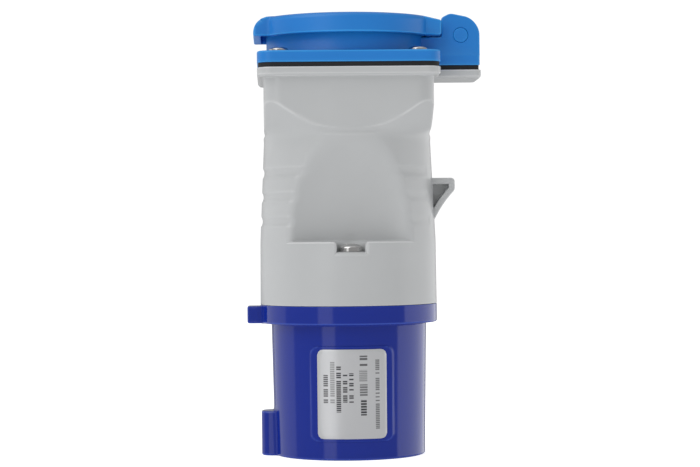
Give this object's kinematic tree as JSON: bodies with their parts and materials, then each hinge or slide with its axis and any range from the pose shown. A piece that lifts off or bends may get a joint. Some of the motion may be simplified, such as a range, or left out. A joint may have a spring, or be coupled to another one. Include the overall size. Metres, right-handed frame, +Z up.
{
  "type": "plug adapter",
  "caption": "Upright plug adapter: a keyed round-pin plug below, an earthed socket under a sprung lid above, joined by a grey moulded grip housing.",
  "frame": {"origin": "centre of the plug shroud's mouth, in the plane of its rim", "axes": "+Z up along the plug's axis to the lid, +X to the lid's hinge and the hook, -X to the key, -Y to the label"},
  "size_m": [0.0658, 0.0514, 0.1228],
  "materials": {
    "plug_blue": "dark blue moulded plastic, glossy",
    "socket_blue": "bright blue moulded plastic, satin",
    "house_grey": "light grey moulded plastic, fine satin",
    "black_rubber": "black gasket rubber",
    "brass": "turned brass",
    "steel": "bright plated steel",
    "insert_white": "white moulded insert",
    "label_silver": "silver film sticker with plain dark bars",
    "wire_brown": "brown insulation",
    "wire_blue": "blue insulation",
    "wire_earth": "green and yellow insulation"
  },
  "bodies": {
    "adapter": {"plug_shroud": "plug_blue", "socket_front": "socket_blue", "hinge_pin": "socket_blue", "housing": "house_grey", "plug_gasket": "black_rubber", "flange_gasket": "black_rubber", "pin_earth": "brass", "pin_live": "brass", "pin_neutral": "brass", "live_contact": "brass", "neutral_contact": "brass", "carrier_screws": "steel", "pin_screws": "steel", "housing_screws": "steel", "flange_screws": "steel", "base_screw": "steel", "contact_screws": "steel", "earth_bracket": "steel", "lid_spring": "steel", "pin_carrier": "insert_white", "contact_base": "insert_white", "rating_label": "label_silver", "wire_live": "wire_brown", "wire_neutral": "wire_blue", "wire_earth": "wire_earth"},
    "cover": {"lid": "socket_blue", "lid_seal": "black_rubber"}
  },
  "joints": [
    {"name": "lid_hinge", "type": "hinge", "parent": "adapter", "child": "cover", "pos_m": [0.0316, 0, 0.1167], "axis": [0, 1, 0], "range_deg": [0, 110], "stiffness_Nm_per_rad": 0.02, "springref_deg": -57.3, "deforming": ["lid_spring"]}
  ]
}
